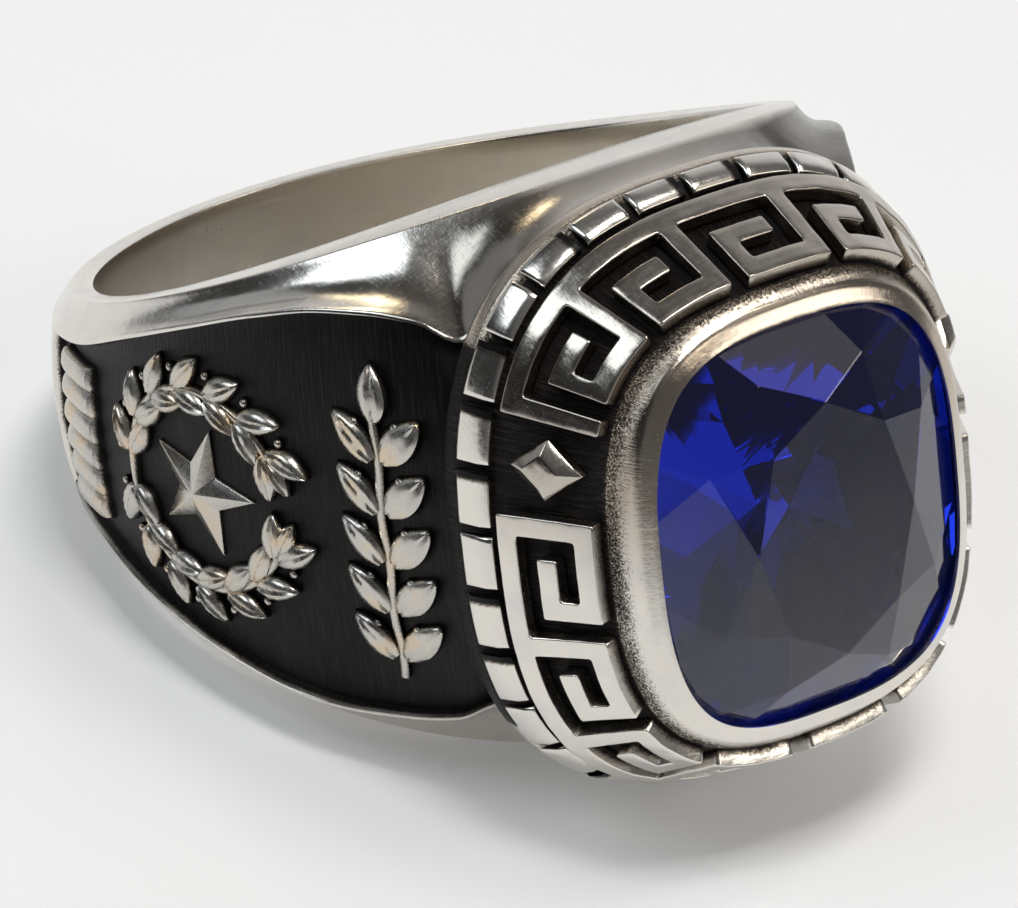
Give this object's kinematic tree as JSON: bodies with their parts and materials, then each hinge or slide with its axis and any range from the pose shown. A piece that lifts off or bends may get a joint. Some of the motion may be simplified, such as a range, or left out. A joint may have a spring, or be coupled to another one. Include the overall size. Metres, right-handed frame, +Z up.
{
  "type": "ring with a cushion-cut stone",
  "caption": "Heavy signet-style finger ring with a cushion-cut stone in a bezel, a key-pattern channel and block border round the head, and sunk side panels with raised laurel relief",
  "frame": {"origin": "centre of the bounding box's bottom, on the table that the ring lies on", "axes": "+Z up from the table, -Y from the finger hole towards the head and its stone, +Y towards the back of the band, X across; the finger hole's axis leans 16.9 degrees from +Z towards +Y, as the ring rests on the lower rim of its finger hole, under the head and at the back"},
  "size_m": [0.0232, 0.0312, 0.0179],
  "materials": {
    "silver": "polished cast silver, darkened in its recesses",
    "stone": "polished facets, deep blue"
  },
  "bodies": {
    "root": {"ring_body": "silver", "stone": "stone"}
  },
  "joints": []
}
